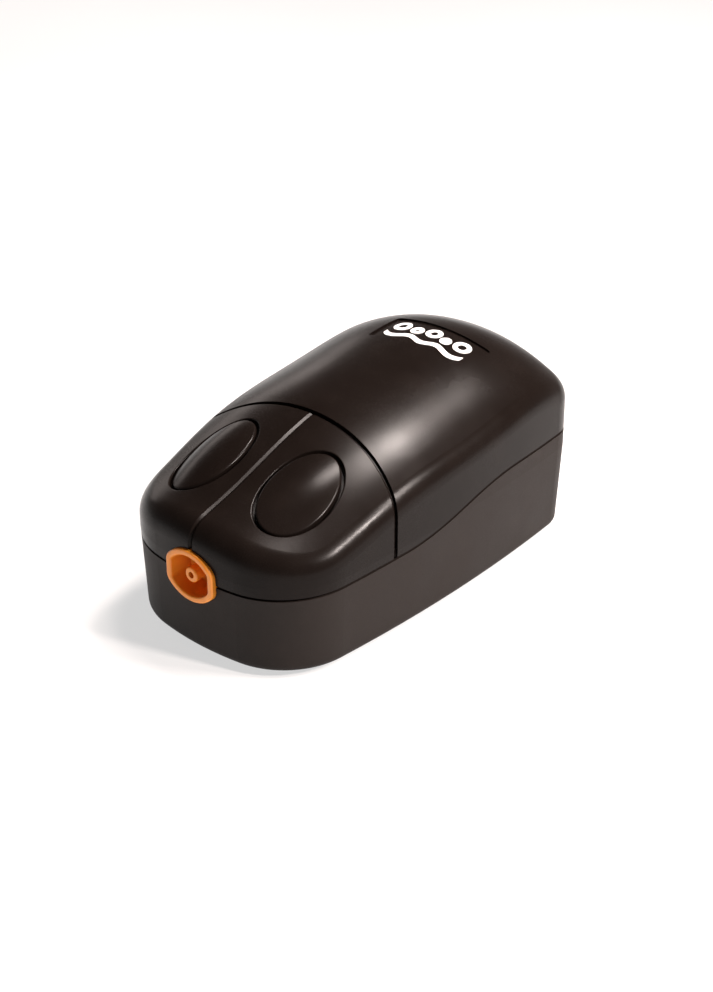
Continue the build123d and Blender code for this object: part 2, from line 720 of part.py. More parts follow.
with BuildPart() as label_plate:
    with BuildSketch(Plane.XY.offset(PART_RISE_END[1])):
        with Locations((0, LABEL_CENTRE_Y)):
            RectangleRounded(LABEL_SIZE[0] - 2 * LABEL_GAP, LABEL_SIZE[1] - 2 * LABEL_GAP, LABEL_CORNER)
    extrude(amount=DRAFT_TOP)
    add(housing_form(LABEL_DEPTH - LABEL_PLATE), mode=Mode.INTERSECT)
    add(housing_form(LABEL_DEPTH), mode=Mode.SUBTRACT)
save(label_plate, "label_plate")

wave_half, wave_height, wave_middle = MARK_WAVE
wave_points = [
    (
        wave_half * (2 * bend / MARK_WAVE_BENDS - 1),
        LABEL_CENTRE_Y + wave_middle + wave_height / 2 * (-1) ** bend,
    )
    for bend in range(MARK_WAVE_BENDS + 1)
]
with BuildPart() as label_mark:
    with BuildSketch(Plane.XY.offset(PART_RISE_END[1])):
        with BuildLine():
            upper = Spline([(x, y + MARK_STROKE / 2) for x, y in wave_points])
            lower = Spline([(x, y - MARK_STROKE / 2) for x, y in wave_points])
            Line(upper @ 0, lower @ 0)
            Line(upper @ 1, lower @ 1)
        make_face()
        for bubble_x, bubble_y, bubble_radius in BUBBLES:
            with Locations((bubble_x, LABEL_CENTRE_Y + bubble_y)):
                Circle(bubble_radius)
                Circle(bubble_radius - BUBBLE_STROKE, mode=Mode.SUBTRACT)
    extrude(amount=DRAFT_TOP)
    add(housing_form(LABEL_DEPTH - LABEL_PLATE - LABEL_PRINT), mode=Mode.INTERSECT)
    add(housing_form(LABEL_DEPTH - LABEL_PLATE), mode=Mode.SUBTRACT)
save(label_mark, "label_mark")

rim_front = -HALF_LENGTH - PROUD
cup_floor = rim_front + NOZZLE_CUP_DEPTH
cup_back = cup_floor + NOZZLE_BACK
with BuildPart() as outlet_nozzle:
    with BuildSketch(nozzle_plane(rim_front)):
        add(barrel_outline(0))
    extrude(amount=rim_front - cup_back)
    with BuildSketch(nozzle_plane(rim_front)):
        add(barrel_outline(-RIM_THICKNESS))
    extrude(amount=-NOZZLE_CUP_DEPTH, mode=Mode.SUBTRACT)
    fillet(outlet_nozzle.faces().sort_by(Axis.Y)[0].edges(), RIM_ROUNDING)
    with BuildSketch(nozzle_plane(NOZZLE_FLANGE[0])):
        add(barrel_outline(NOZZLE_FLANGE_STEP))
        add(barrel_outline(-RIM_THICKNESS / 2), mode=Mode.SUBTRACT)
    extrude(amount=NOZZLE_FLANGE[0] - NOZZLE_FLANGE[1])
    with BuildSketch(nozzle_plane(rim_front + NIPPLE_SETBACK)):
        Circle(NIPPLE_RADIUS)
    extrude(amount=NIPPLE_SETBACK - NOZZLE_CUP_DEPTH)
    nipple_tip = Vector(0, rim_front + NIPPLE_SETBACK, NOZZLE_Z)
    circles = outlet_nozzle.edges().filter_by(GeomType.CIRCLE)
    fillet(circles.sort_by_distance(nipple_tip)[0], NIPPLE_TIP)
    with BuildSketch(nozzle_plane(cup_back)):
        Circle(SPIGOT_RADIUS)
    extrude(amount=cup_back - NOZZLE_SPIGOT_END)
    with BuildSketch(nozzle_plane(rim_front)):
        Circle(AIR_BORE)
    extrude(amount=rim_front - NOZZLE_SPIGOT_END, mode=Mode.SUBTRACT)
save(outlet_nozzle, "outlet_nozzle")

with BuildPart() as rubber_feet:
    with BuildSketch():
        with Locations(FEET):
            Circle(FOOT_RADIUS)
    extrude(amount=FOOT_HEIGHT + FOOT_RECESS)
    fillet(rubber_feet.faces().group_by(Axis.Z)[0].edges(), FOOT_RECESS / 2)
    with BuildSketch(Plane.XY.offset(FOOT_HEIGHT + FOOT_RECESS)):
        with Locations(FEET):
            Circle(FOOT_STEM_RADIUS)
    extrude(amount=WALL - FOOT_RECESS)
    with BuildSketch(Plane.XY.offset(FOOT_HEIGHT + WALL)):
        with Locations(FEET):
            Circle(FOOT_BULB_RADIUS)
    extrude(amount=FOOT_BULB_TOP - FOOT_HEIGHT - WALL, taper=FOOT_BULB_TAPER)
save(rubber_feet, "rubber_feet")

housing_screw = cross_head_screw(HEAD_RADIUS, HEAD_HEIGHT, SHANK_RADIUS, HOUSING_SCREW_LENGTH)
with BuildPart() as housing_screws:
    with Locations([(x, y, HEAD_SEAT) for x, y in FRONT_SCREWS + REAR_SCREWS]):
        add(housing_screw)
save(housing_screws, "housing_screws")

rear_end = HALF_LENGTH + PROUD
with BuildPart() as cord_gland:
    for start, end, radius in (
        (GLAND_SEAT[1], rear_end, GLAND_FLANGE),
        (GLAND_SEAT[0], GLAND_SEAT[1], GLAND_BODY),
        (GLAND_INNER_FLANGE, GLAND_SEAT[0], GLAND_FLANGE),
        (GLAND_TAIL[1], GLAND_INNER_FLANGE, GLAND_TAIL[0]),
    ):
        with BuildSketch(Plane.XZ.offset(-end)):
            with Locations((0, GLAND_Z)):
                Circle(radius)
        extrude(amount=end - start)
    fillet(cord_gland.faces().sort_by(Axis.Y)[-1].edges(), PROUD / 2)
    with BuildSketch(Plane.XZ.offset(-rear_end)):
        with Locations((0, GLAND_Z)):
            Circle(GLAND_BORE)
    extrude(amount=rear_end - GLAND_TAIL[1], mode=Mode.SUBTRACT)
save(cord_gland, "cord_gland")

with BuildPart() as intake_cap:
    with BuildSketch(Plane.XY.offset(CAP_BOTTOM)):
        with Locations(INTAKE):
            Circle(INTAKE_RADIUS - CAP_CLEARANCE)
            with GridLocations(0, GRILLE_PITCH, 1, GRILLE_SLOTS):
                SlotOverall(*GRILLE_SLOT, mode=Mode.SUBTRACT)
    extrude(amount=CAP_TOP - CAP_BOTTOM)
    chamfer(intake_cap.faces().sort_by(Axis.Z)[0].outer_wire().edges(), CAP_BEVEL)
save(intake_cap, "intake_cap")

with BuildPart() as filter_felt:
    with BuildSketch(Plane.XY.offset(CAP_TOP)):
        with Locations(INTAKE):
            Circle(INTAKE_RADIUS - CAP_CLEARANCE)
    extrude(amount=FELT_TOP - CAP_TOP)
save(filter_felt, "filter_felt")

# ---------------------------------------------------------------- electromagnet
with BuildPart() as core_laminations:
    with BuildSketch(Plane.XY.offset(CORE_Z[0])):
        with Locations((0, CORE_Y[1])):
            Rectangle(2 * CORE_HALF, YOKE, align=(Align.CENTER, Align.MAX))
            Rectangle(2 * CENTRE_LEG_HALF, CORE_Y[1] - CORE_Y[0], align=(Align.CENTER, Align.MAX))
        with Locations((CORE_HALF, CORE_Y[1])):
            Rectangle(OUTER_LEG, CORE_Y[1] - CORE_Y[0], align=(Align.MAX, Align.MAX))
        with Locations((-CORE_HALF, CORE_Y[1])):
            Rectangle(OUTER_LEG, CORE_Y[1] - CORE_Y[0], align=(Align.MIN, Align.MAX))
        with Locations(CORE_SCREWS):
            Circle(SHANK_RADIUS + PASS_CLEARANCE, mode=Mode.SUBTRACT)
    extrude(amount=CORE_Z[1] - CORE_Z[0])
    # grooves between the plates, all round the E shape: the yoke and three legs stay uncut
    groove_width, groove_depth = LAMINATION_GROOVE
    leg_length = CORE_Y[1] - CORE_Y[0]
    outer_leg_x = CORE_HALF - OUTER_LEG / 2
    limbs = (
        (0, 2 * CORE_HALF, YOKE),
        (0, 2 * CENTRE_LEG_HALF, leg_length),
        (outer_leg_x, OUTER_LEG, leg_length),
        (-outer_leg_x, OUTER_LEG, leg_length),
    )
    for plate in range(1, LAMINATIONS):
        groove_middle = CORE_Z[0] + plate * (CORE_Z[1] - CORE_Z[0]) / LAMINATIONS
        with BuildSketch(Plane.XY.offset(groove_middle - groove_width / 2)):
            Rectangle(2 * REACH, 2 * REACH)
            for limb_x, limb_width, limb_length in limbs:
                with Locations((limb_x, CORE_Y[1] - groove_depth)):
                    Rectangle(
                        limb_width - 2 * groove_depth,
                        limb_length - 2 * groove_depth,
                        align=(Align.CENTER, Align.MAX),
                        mode=Mode.SUBTRACT,
                    )
        extrude(amount=groove_width, mode=Mode.SUBTRACT)
save(core_laminations, "core_laminations")

core_middle = (CORE_Z[0] + CORE_Z[1]) / 2
tube_grow = BOBBIN_CLEARANCE + BOBBIN_WALL
tube_half = (CENTRE_LEG_HALF + tube_grow, (CORE_Z[1] - CORE_Z[0]) / 2 + tube_grow)

with BuildPart() as coil_terminals:
    with BuildSketch(Plane.XY.offset(TERMINAL_Z[0])):
        with Locations((0, BOBBIN_Y[1] - BOBBIN_FLANGE / 2)):
            with GridLocations(2 * TERMINAL_X, 0, 2, 1):
                Rectangle(*TERMINAL_SIZE)
    extrude(amount=TERMINAL_Z[1] - TERMINAL_Z[0])
    chamfer(coil_terminals.faces().group_by(Axis.Z)[-1].edges().filter_by(Axis.X), TERMINAL_SIZE[1] / 4)
save(coil_terminals, "coil_terminals")

with BuildPart() as coil_bobbin:
    with BuildSketch(coil_plane(BOBBIN_Y[1])):
        RectangleRounded(2 * tube_half[0], 2 * tube_half[1], BOBBIN_WALL)
    extrude(amount=BOBBIN_Y[1] - BOBBIN_Y[0])
    with BuildSketch(coil_plane(BOBBIN_Y[1]), coil_plane(BOBBIN_Y[0] + BOBBIN_FLANGE)):
        RectangleRounded(2 * FLANGE_HALF[0], 2 * FLANGE_HALF[1], BOBBIN_WALL)
    extrude(amount=BOBBIN_FLANGE)
    with BuildSketch(coil_plane(BOBBIN_Y[1])):
        Rectangle(2 * (tube_half[0] - BOBBIN_WALL), 2 * (tube_half[1] - BOBBIN_WALL))
    extrude(amount=BOBBIN_Y[1] - BOBBIN_Y[0], mode=Mode.SUBTRACT)
    add(coil_terminals.part, mode=Mode.SUBTRACT)
save(coil_bobbin, "coil_bobbin")

with BuildPart() as coil_winding:
    with BuildSketch(coil_plane(BOBBIN_Y[1] - BOBBIN_FLANGE)):
        RectangleRounded(2 * COIL_HALF[0], 2 * COIL_HALF[1], 4 * BOBBIN_WALL)
        RectangleRounded(2 * tube_half[0], 2 * tube_half[1], BOBBIN_WALL, mode=Mode.SUBTRACT)
    extrude(amount=BOBBIN_Y[1] - BOBBIN_Y[0] - 2 * BOBBIN_FLANGE)
save(coil_winding, "coil_winding")

core_screw = cross_head_screw(HEAD_RADIUS, HEAD_HEIGHT, SHANK_RADIUS, CORE_SCREW_LENGTH)
with BuildPart() as core_screws:
    with Locations([Location((x, y, CORE_Z[1]), (180, 0, 0)) for x, y in CORE_SCREWS]):
        add(core_screw)
save(core_screws, "core_screws")

# ---------------------------------------------------------------- swing arm
with BuildPart() as swing_arm:
    with BuildSketch(Plane.XY.offset(EYE_Z[0])):
        with Locations((0, PIVOT_Y)):
            Circle(EYE_RADIUS)
    extrude(amount=EYE_Z[1] - EYE_Z[0])
    with BuildSketch(Plane.XY.offset(ARM_Z[0])):
        with Locations((0, PIVOT_Y)):
            Rectangle(2 * ARM_HALF, ARM_HEAD_Y[1] - PIVOT_Y, align=(Align.CENTER, Align.MIN))
    extrude(amount=ARM_Z[1] - ARM_Z[0])
    with BuildSketch(Plane.XY.offset(ARM_HEAD_Z[0])):
        with Locations((0, ARM_HEAD_Y[0])):
            Rectangle(2 * MAGNET_HALF, ARM_HEAD_Y[1] - ARM_HEAD_Y[0], align=(Align.CENTER, Align.MIN))
    extrude(amount=ARM_HEAD_Z[1] - ARM_HEAD_Z[0])
    with BuildSketch(pump_plane(HUB_X[1] + WASHER_THICKNESS)):
        Circle(WASHER_RADIUS)
    extrude(amount=-ARM_HALF - HUB_X[1] - WASHER_THICKNESS)
    with BuildSketch(Plane.XY.offset(EYE_Z[0])):
        with Locations((0, PIVOT_Y)):
            Circle(BUSH_RADIUS)
    extrude(amount=EYE_Z[1] - EYE_Z[0], mode=Mode.SUBTRACT)
    with BuildSketch(pump_plane(-ARM_HALF - HUB_RADIUS)):
        Circle(HUB_SCREW[2] + PILOT_CLEARANCE)
    extrude(amount=REACH, mode=Mode.SUBTRACT)
    with BuildSketch(Plane.XZ.offset(-ARM_HEAD_Y[1])):
        with Locations((0, core_middle)):
            with GridLocations(*RIVET_SPACING, 2, 2):
                Circle(RIVET_RADIUS)
    extrude(amount=ARM_HEAD_Y[1] - ARM_HEAD_Y[0], mode=Mode.SUBTRACT)
save(swing_arm, "swing_arm")

with BuildPart() as magnet_yoke:
    with BuildSketch(Plane.XZ.offset(-ARM_HEAD_Y[1] - MAGNET_YOKE)):
        with Locations((0, core_middle)):
            Rectangle(2 * MAGNET_HALF, ARM_HEAD_Z[1] - ARM_HEAD_Z[0])
            with GridLocations(*RIVET_SPACING, 2, 2):
                Circle(RIVET_RADIUS, mode=Mode.SUBTRACT)
    extrude(amount=MAGNET_YOKE)
save(magnet_yoke, "magnet_yoke")

magnet_back = ARM_HEAD_Y[1] + MAGNET_YOKE
with BuildPart() as magnets:
    with BuildSketch(Plane.XY.offset(MAGNET_Z[0])):
        for side in (1, -1):
            with Locations((side * (MAGNET_HALF + MAGNET_SPLIT / 2) / 2, magnet_back + MAGNET_LENGTH / 2)):
                Rectangle(MAGNET_HALF - MAGNET_SPLIT / 2, MAGNET_LENGTH)
    extrude(amount=MAGNET_Z[1] - MAGNET_Z[0])
    chamfer(magnets.edges().group_by(Axis.Y)[-1], MAGNET_BEVEL)
save(magnets, "magnets")

with BuildPart() as magnet_rivets:
    for start, end, radius in (
        (ARM_HEAD_Y[0] - RIVET_HEAD[1], ARM_HEAD_Y[0], RIVET_HEAD[0]),
        (ARM_HEAD_Y[0], magnet_back, RIVET_RADIUS),
        (magnet_back, magnet_back + RIVET_HEAD[1], RIVET_HEAD[0]),
    ):
        with BuildSketch(Plane.XZ.offset(-end)):
            with Locations((0, core_middle)):
                with GridLocations(*RIVET_SPACING, 2, 2):
                    Circle(radius)
        extrude(amount=end - start)
save(magnet_rivets, "magnet_rivets")

with BuildPart() as pivot_bushing:
    with BuildSketch(Plane.XY.offset(EYE_Z[0])):
        with Locations((0, PIVOT_Y)):
            Circle(BUSH_RADIUS)
            Circle(PIN_RADIUS + PIN_CLEARANCE, mode=Mode.SUBTRACT)
    extrude(amount=EYE_Z[1] - EYE_Z[0])
save(pivot_bushing, "pivot_bushing")

with BuildPart() as pivot_pin:
    with BuildSketch(Plane.XY.offset(PIN_Z[0])):
        with Locations((0, PIVOT_Y)):
            Circle(PIN_RADIUS)
    extrude(amount=PIN_Z[1] - PIN_Z[0])
    chamfer(pivot_pin.faces().sort_by(Axis.Z)[-1].edges(), PIN_RADIUS / 4)
    with BuildSketch(Plane.XY.offset(CLIP_Z[0])):
        with Locations((0, PIVOT_Y)):
            Circle(PIN_RADIUS)
            Circle(CLIP_RADII[0], mode=Mode.SUBTRACT)
    extrude(amount=CLIP_Z[1] - CLIP_Z[0], mode=Mode.SUBTRACT)
save(pivot_pin, "pivot_pin")

with BuildPart() as pivot_clip:
    with BuildSketch(Plane.XY.offset(CLIP_Z[0])):
        with Locations((0, PIVOT_Y)):
            Circle(CLIP_RADII[1])
            Circle(CLIP_RADII[0], mode=Mode.SUBTRACT)
            Rectangle(CLIP_MOUTH, CLIP_RADII[1], align=(Align.CENTER, Align.MAX), mode=Mode.SUBTRACT)
    extrude(amount=CLIP_Z[1] - CLIP_Z[0])
save(pivot_clip, "pivot_clip")

with BuildPart() as pivot_washer:
    with BuildSketch(Plane.XY.offset(POST_TOP)):
        with Locations((0, PIVOT_Y)):
            Circle(THRUST_RADIUS)
            Circle(PIN_RADIUS, mode=Mode.SUBTRACT)
    extrude(amount=EYE_Z[0] - THRUST_CLEARANCE - POST_TOP)
save(pivot_washer, "pivot_washer")

# ---------------------------------------------------------------- diaphragm pump
with BuildPart() as diaphragm:
    with BuildSketch(port_plane(0, PUMP_Y, PUMP_Z)):
        with BuildLine():
            Polyline(
                (HUB_X[1], HUB_HOLE),
                (HUB_X[1], HUB_RADIUS),
                (HUB_X[1] - DIAPHRAGM_WALL, HUB_RADIUS + DIAPHRAGM_WALL * 0.3),
                (RING_X[0] + RIM_SEAT, CAVITY_RADIUS - DIAPHRAGM_WALL * 0.6),
                (RING_X[0] + RIM_SEAT, RIM_SEAT_RADIUS),
                (RING_X[0], RIM_SEAT_RADIUS),
                (RING_X[0], CAVITY_RADIUS - DIAPHRAGM_WALL * 0.6),
                (HUB_X[0], HUB_RADIUS),
                (HUB_X[0], HUB_HOLE),
                close=True,
            )
        make_face()
    revolve(axis=Axis((0, PUMP_Y, PUMP_Z), (1, 0, 0)))
save(diaphragm, "diaphragm")

with BuildPart() as diaphragm_washers:
    for washer_back in (HUB_X[1], HUB_X[0] - WASHER_THICKNESS):
        with BuildSketch(pump_plane(washer_back)):
            Circle(WASHER_RADIUS)
            Circle(HUB_HOLE, mode=Mode.SUBTRACT)
        extrude(amount=WASHER_THICKNESS)
save(diaphragm_washers, "diaphragm_washers")

with BuildPart() as diaphragm_screw:
    with Locations(Location((HUB_X[0] - WASHER_THICKNESS, PUMP_Y, PUMP_Z), (0, 90, 0))):
        add(cross_head_screw(*HUB_SCREW))
save(diaphragm_screw, "diaphragm_screw")

with BuildPart() as diaphragm_clamp_ring:
    with BuildSketch(pump_plane(RING_X[0])):
        Circle(PUMP_RADIUS)
        Circle(CAVITY_RADIUS, mode=Mode.SUBTRACT)
        with PolarLocations(PUMP_SCREW_CIRCLE, PUMP_SCREWS, start_angle=45):
            Circle(PUMP_SCREW_RADIUS + PILOT_CLEARANCE, mode=Mode.SUBTRACT)
    extrude(amount=RING_X[1] - RING_X[0])
    with BuildSketch(pump_plane(RING_X[0])):
        Circle(RIM_SEAT_RADIUS)
    extrude(amount=RIM_SEAT, mode=Mode.SUBTRACT)
save(diaphragm_clamp_ring, "diaphragm_clamp_ring")

flap_sides = ((PLATE_X[1], 1), (PLATE_X[0], -1))  # face of the plate, and which way X and Y run from it
knuckle_middle = FLAP_HALF_WIDTH + KNUCKLE_GAP + KNUCKLE_WIDTH / 2
with BuildPart() as chamber_body:
    with BuildSketch(pump_plane(PLENUM_BACK)):
        Circle(PUMP_RADIUS)
    extrude(amount=RING_X[0] - PLENUM_BACK)
    with BuildSketch(Plane.XY.offset(PUMP_FOOT_Z[0])):
        with Locations(((PUMP_FOOT_X[0] + PUMP_FOOT_X[1]) / 2, PUMP_Y)):
            Rectangle(PUMP_FOOT_X[1] - PUMP_FOOT_X[0], 2 * PUMP_FOOT_HALF)
    extrude(amount=PUMP_FOOT_Z[1] - PUMP_FOOT_Z[0])
    with BuildSketch(port_plane(SIDE_PORT_X, PUMP_SPIGOT_END, NOZZLE_Z)):
        Circle(SPIGOT_RADIUS)
    extrude(amount=PUMP_SPIGOT_END - PUMP_Y)
    with BuildSketch(pump_plane(PLENUM_BACK)):
        Circle(PLENUM_RADIUS)
        Rectangle(DIVIDER, 2 * PLENUM_RADIUS, mode=Mode.SUBTRACT)
    extrude(amount=PLATE_X[0] - PLENUM_BACK, mode=Mode.SUBTRACT)
    with BuildSketch(pump_plane(PLATE_X[1])):
        Circle(CAVITY_RADIUS)
    extrude(amount=RING_X[0] - PLATE_X[1], mode=Mode.SUBTRACT)
    with BuildSketch(pump_plane(PLATE_X[0])):
        with GridLocations(2 * PORT_OFFSET, 0, 2, 1):
            Circle(PORT_RADIUS)
    extrude(amount=PLATE_X[1] - PLATE_X[0], mode=Mode.SUBTRACT)
    with BuildSketch(pump_plane(PLENUM_BACK)):
        with PolarLocations(PUMP_SCREW_CIRCLE, PUMP_SCREWS, start_angle=45):
            Circle(PUMP_SCREW_RADIUS + PILOT_CLEARANCE)
    extrude(amount=RING_X[0] - PLENUM_BACK, mode=Mode.SUBTRACT)
    with BuildSketch(Plane.XY.offset(PUMP_FOOT_Z[0])):
        with Locations(PUMP_POSTS):
            Circle(PUMP_MOUNT_SCREW[2] + PASS_CLEARANCE)
    extrude(amount=PUMP_FOOT_Z[1] - PUMP_FOOT_Z[0], mode=Mode.SUBTRACT)
    with BuildSketch(port_plane(SIDE_PORT_X, PUMP_SPIGOT_END, NOZZLE_Z)):
        Circle(AIR_BORE)
    extrude(amount=PUMP_SPIGOT_END - PUMP_Y + DIVIDER, mode=Mode.SUBTRACT)
    with BuildSketch(port_plane(SIDE_PORT_X, PUMP_Y + DIVIDER, PUMP_Z)):
        Circle(PORT_RADIUS)
    extrude(amount=-PUMP_RADIUS, mode=Mode.SUBTRACT)
    for face_x, way in flap_sides:
        axis_x = face_x + way * FLAP_AXIS_HEIGHT
        axis_y = PUMP_Y + way * FLAP_AXIS_OFFSET
        for end in (1, -1):
            with BuildSketch(Plane.XY.offset(PUMP_Z + end * knuckle_middle - KNUCKLE_WIDTH / 2)):
                with Locations((face_x + way * KNUCKLE_HEIGHT / 2, axis_y)):
                    Rectangle(KNUCKLE_HEIGHT, 2 * KNUCKLE_HALF)
                with Locations((axis_x, axis_y)):
                    Circle(BEAD_RADIUS + BEAD_CLEARANCE, mode=Mode.SUBTRACT)
                with Locations((axis_x + way * KNUCKLE_HEIGHT / 2, axis_y)):
                    Rectangle(KNUCKLE_HEIGHT, KNUCKLE_MOUTH, mode=Mode.SUBTRACT)
            extrude(amount=KNUCKLE_WIDTH)
save(chamber_body, "chamber_body")


def flap_valve(face_x, way):
    """A flap that lies on the valve plate's face at face_x and opens away from it, about a bead along Z."""
    axis_x = face_x + way * FLAP_AXIS_HEIGHT
    axis_y = PUMP_Y + way * FLAP_AXIS_OFFSET
    bead_half = knuckle_middle + KNUCKLE_WIDTH / 2
    with BuildPart() as flap:
        with BuildSketch(Plane.XY.offset(PUMP_Z - bead_half)):
            with Locations((axis_x, axis_y)):
                Circle(BEAD_RADIUS)
        extrude(amount=2 * bead_half)
        with BuildSketch(Plane.XY.offset(PUMP_Z - FLAP_HALF_WIDTH)):
            with Locations((face_x + way * FLAP_THICKNESS / 2, axis_y + way * FLAP_LENGTH / 2)):
                Rectangle(FLAP_THICKNESS, FLAP_LENGTH)
        extrude(amount=2 * FLAP_HALF_WIDTH)
        tip_edges = flap.edges().filter_by(Axis.X).group_by(Axis.Y)
        fillet(tip_edges[-1 if way > 0 else 0], FLAP_HALF_WIDTH * 0.6)
    return flap


inlet_flap = flap_valve(*flap_sides[0])
save(inlet_flap, "inlet_flap")

outlet_flap = flap_valve(*flap_sides[1])
save(outlet_flap, "outlet_flap")

with BuildPart() as chamber_gasket:
    with BuildSketch(pump_plane(PLENUM_BACK - PUMP_GASKET)):
        Circle(PUMP_RADIUS)
        Circle(PLENUM_RADIUS, mode=Mode.SUBTRACT)
        Rectangle(DIVIDER, 2 * PLENUM_RADIUS + DIVIDER)
        with PolarLocations(PUMP_SCREW_CIRCLE, PUMP_SCREWS, start_angle=45):
            Circle(PUMP_SCREW_RADIUS + PILOT_CLEARANCE, mode=Mode.SUBTRACT)
    extrude(amount=PUMP_GASKET)
save(chamber_gasket, "chamber_gasket")

cover_back = PLENUM_BACK - PUMP_GASKET - PUMP_COVER
with BuildPart() as chamber_cover:
    with BuildSketch(pump_plane(cover_back)):
        Circle(PUMP_RADIUS)
        with PolarLocations(PUMP_SCREW_CIRCLE, PUMP_SCREWS, start_angle=45):
            Circle(PUMP_SCREW_RADIUS + PILOT_CLEARANCE, mode=Mode.SUBTRACT)
    extrude(amount=PUMP_COVER)
save(chamber_cover, "chamber_cover")

chamber_screw = cross_head_screw(
    2 * PUMP_SCREW_RADIUS, PUMP_SCREW_RADIUS * 1.4, PUMP_SCREW_RADIUS, PUMP_SCREW_LENGTH
)
screw_reach = PUMP_SCREW_CIRCLE * sqrt(0.5)
with BuildPart() as chamber_screws:
    with Locations(
        [
            Location((cover_back, PUMP_Y + side * screw_reach, PUMP_Z + level * screw_reach), (0, 90, 0))
            for side in (1, -1)
            for level in (1, -1)
        ]
    ):
        add(chamber_screw)
save(chamber_screws, "chamber_screws")

mount_screw = cross_head_screw(*PUMP_MOUNT_SCREW)
with BuildPart() as pump_mount_screws:
    with Locations([Location((x, y, PUMP_FOOT_Z[1]), (180, 0, 0)) for x, y in PUMP_POSTS]):
        add(mount_screw)
save(pump_mount_screws, "pump_mount_screws")

with BuildPart() as air_hose:
    with BuildLine():
        hose_path = FilletPolyline(
            (SIDE_PORT_X, HOSE_ENDS[0], NOZZLE_Z),
            (SIDE_PORT_X, HOSE_CORNERS[0], NOZZLE_Z),
            (0, HOSE_CORNERS[1], NOZZLE_Z),
            (0, HOSE_ENDS[1], NOZZLE_Z),
            radius=HOSE_BEND,
        )
    with BuildSketch(Plane(origin=hose_path @ 0, z_dir=hose_path % 0)):
        Circle(HOSE_RADII[1])
        Circle(HOSE_RADII[0], mode=Mode.SUBTRACT)
    sweep()
save(air_hose, "air_hose")
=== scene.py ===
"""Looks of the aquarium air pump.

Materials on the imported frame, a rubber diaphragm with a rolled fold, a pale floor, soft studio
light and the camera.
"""

import json
import math

import bmesh
import bpy
from mathutils import Matrix, Vector


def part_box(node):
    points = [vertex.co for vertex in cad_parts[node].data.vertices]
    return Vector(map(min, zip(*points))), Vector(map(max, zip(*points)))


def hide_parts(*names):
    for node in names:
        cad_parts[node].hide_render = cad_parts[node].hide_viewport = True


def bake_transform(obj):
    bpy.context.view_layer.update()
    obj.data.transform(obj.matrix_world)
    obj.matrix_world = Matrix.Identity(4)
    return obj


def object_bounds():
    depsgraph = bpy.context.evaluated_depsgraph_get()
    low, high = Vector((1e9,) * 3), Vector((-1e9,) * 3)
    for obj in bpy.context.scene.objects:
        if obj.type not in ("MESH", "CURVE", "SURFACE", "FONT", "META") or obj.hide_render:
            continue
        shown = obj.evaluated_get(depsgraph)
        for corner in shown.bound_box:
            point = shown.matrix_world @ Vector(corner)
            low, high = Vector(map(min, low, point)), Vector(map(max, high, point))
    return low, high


MM = 0.001

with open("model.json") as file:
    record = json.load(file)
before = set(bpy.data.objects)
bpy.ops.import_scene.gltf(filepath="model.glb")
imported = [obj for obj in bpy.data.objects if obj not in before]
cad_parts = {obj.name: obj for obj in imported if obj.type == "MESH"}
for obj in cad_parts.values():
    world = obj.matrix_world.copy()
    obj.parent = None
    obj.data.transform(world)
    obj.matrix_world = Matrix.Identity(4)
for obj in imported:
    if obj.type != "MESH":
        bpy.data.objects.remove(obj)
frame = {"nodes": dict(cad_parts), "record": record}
nodes = frame["nodes"]
cad_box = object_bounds()


# ---------------------------------------------------------------- node helpers
def feed(tree, value, target):
    """Set an input to a plain value, or link another node's output to it."""
    if isinstance(value, bpy.types.NodeSocket):
        tree.links.new(value, target)
    else:
        target.default_value = value


def ramp(tree, factor, stops):
    """A colour ramp over factor; stops are (position, grey level or colour)."""
    node = tree.nodes.new("ShaderNodeValToRGB")
    elements = node.color_ramp.elements
    while len(elements) < len(stops):
        elements.new(0.5)
    for element, (position, value) in zip(elements, stops):
        element.position = position
        element.color = (*value, 1) if isinstance(value, tuple) else (value, value, value, 1)
    feed(tree, factor, node.inputs["Fac"])
    return node.outputs["Color"]


def scaled(tree, factor, to_range, from_range=(0.0, 1.0)):
    """factor mapped from one range to another."""
    node = tree.nodes.new("ShaderNodeMapRange")
    ends = (*from_range, *to_range)
    for name, value in zip(("From Min", "From Max", "To Min", "To Max"), ends):
        node.inputs[name].default_value = value
    feed(tree, factor, node.inputs["Value"])
    return node.outputs["Result"]


def maths(tree, operation, first, second):
    """The result of a maths operation on two values."""
    node = tree.nodes.new("ShaderNodeMath")
    node.operation = operation
    feed(tree, first, node.inputs[0])
    feed(tree, second, node.inputs[1])
    return node.outputs["Value"]


def mixed(tree, factor, first, second, blend_type="MIX"):
    """A colour that goes from first to second as factor goes from 0 to 1."""
    node = tree.nodes.new("ShaderNodeMix")
    node.data_type = "RGBA"
    node.blend_type = blend_type
    feed(tree, factor, node.inputs["Factor"])
    feed(tree, first, node.inputs["A"])
    feed(tree, second, node.inputs["B"])
    return node.outputs["Result"]


def noise(tree, place, size, detail, stretch=None):
    """Noise whose blobs are about size metres across; stretch scales the place first."""
    if stretch:
        mapping = tree.nodes.new("ShaderNodeMapping")
        mapping.inputs["Scale"].default_value = stretch
        feed(tree, place, mapping.inputs["Vector"])
        place = mapping.outputs["Vector"]
    node = tree.nodes.new("ShaderNodeTexNoise")
    node.inputs["Scale"].default_value = 1 / size
    node.inputs["Detail"].default_value = detail
    feed(tree, place, node.inputs["Vector"])
    return node.outputs["Fac"]


def bump(tree, height, depth, after=None):
    """Bump of depth metres, on top of an earlier one."""
    node = tree.nodes.new("ShaderNodeBump")
    node.inputs["Distance"].default_value = depth
    feed(tree, height, node.inputs["Height"])
    if after:
        feed(tree, after, node.inputs["Normal"])
    return node.outputs["Normal"]


def shaded(colour, factor):
    """A colour made darker or lighter by a factor."""
    return tuple(channel * factor for channel in colour)


